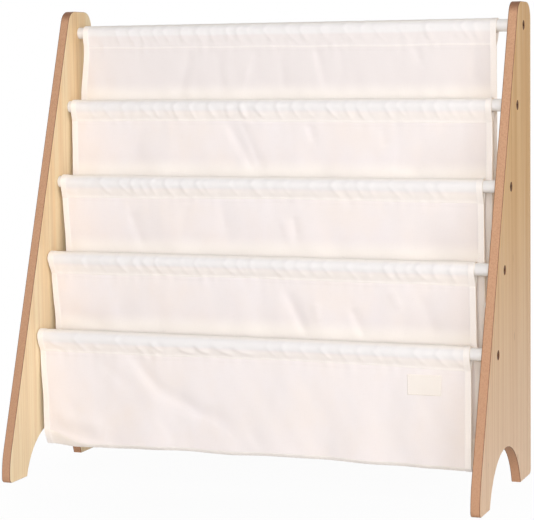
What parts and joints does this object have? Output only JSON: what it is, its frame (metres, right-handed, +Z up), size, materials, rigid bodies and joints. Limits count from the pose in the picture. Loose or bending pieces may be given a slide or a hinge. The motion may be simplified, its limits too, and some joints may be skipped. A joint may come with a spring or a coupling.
{
  "type": "sling bookshelf",
  "caption": "Low children's bookshelf: two arched side panels joined by round rods that carry a sewn cloth sling with stepped hanging book pockets.",
  "frame": {"origin": "on the floor, in the middle of the footprint", "axes": "+X along the rods to the right panel, +Y from the low front to the tall back, +Z up"},
  "size_m": [0.634, 0.264, 0.61],
  "materials": {
    "side_panel": "satin light pine grain faces with bare brown board edges",
    "rod": "gloss white powder coat",
    "end_plug": "moulded grey nylon",
    "bolt": "dark bronze plating",
    "sling_cloth": "plain-woven off-white cotton canvas",
    "label": "smooth cream woven tape"
  },
  "bodies": {
    "root": {"left_side_panel": "side_panel", "right_side_panel": "side_panel", "rod_tube_1": "rod", "end_plug_left_1": "end_plug", "end_plug_right_1": "end_plug", "bolt_left_1": "bolt", "bolt_right_1": "bolt", "rod_sleeve_1": "sling_cloth", "rod_tube_2": "rod", "end_plug_left_2": "end_plug", "end_plug_right_2": "end_plug", "bolt_left_2": "bolt", "bolt_right_2": "bolt", "rod_sleeve_2": "sling_cloth", "rod_tube_3": "rod", "end_plug_left_3": "end_plug", "end_plug_right_3": "end_plug", "bolt_left_3": "bolt", "bolt_right_3": "bolt", "rod_sleeve_3": "sling_cloth", "rod_tube_4": "rod", "end_plug_left_4": "end_plug", "end_plug_right_4": "end_plug", "bolt_left_4": "bolt", "bolt_right_4": "bolt", "rod_sleeve_4": "sling_cloth", "rod_tube_5": "rod", "end_plug_left_5": "end_plug", "end_plug_right_5": "end_plug", "bolt_left_5": "bolt", "bolt_right_5": "bolt", "rod_sleeve_5": "sling_cloth", "sling_pocket_1": "sling_cloth", "sling_pocket_2": "sling_cloth", "sling_pocket_3": "sling_cloth", "sling_pocket_4": "sling_cloth", "sling_label": "label"}
  },
  "joints": []
}
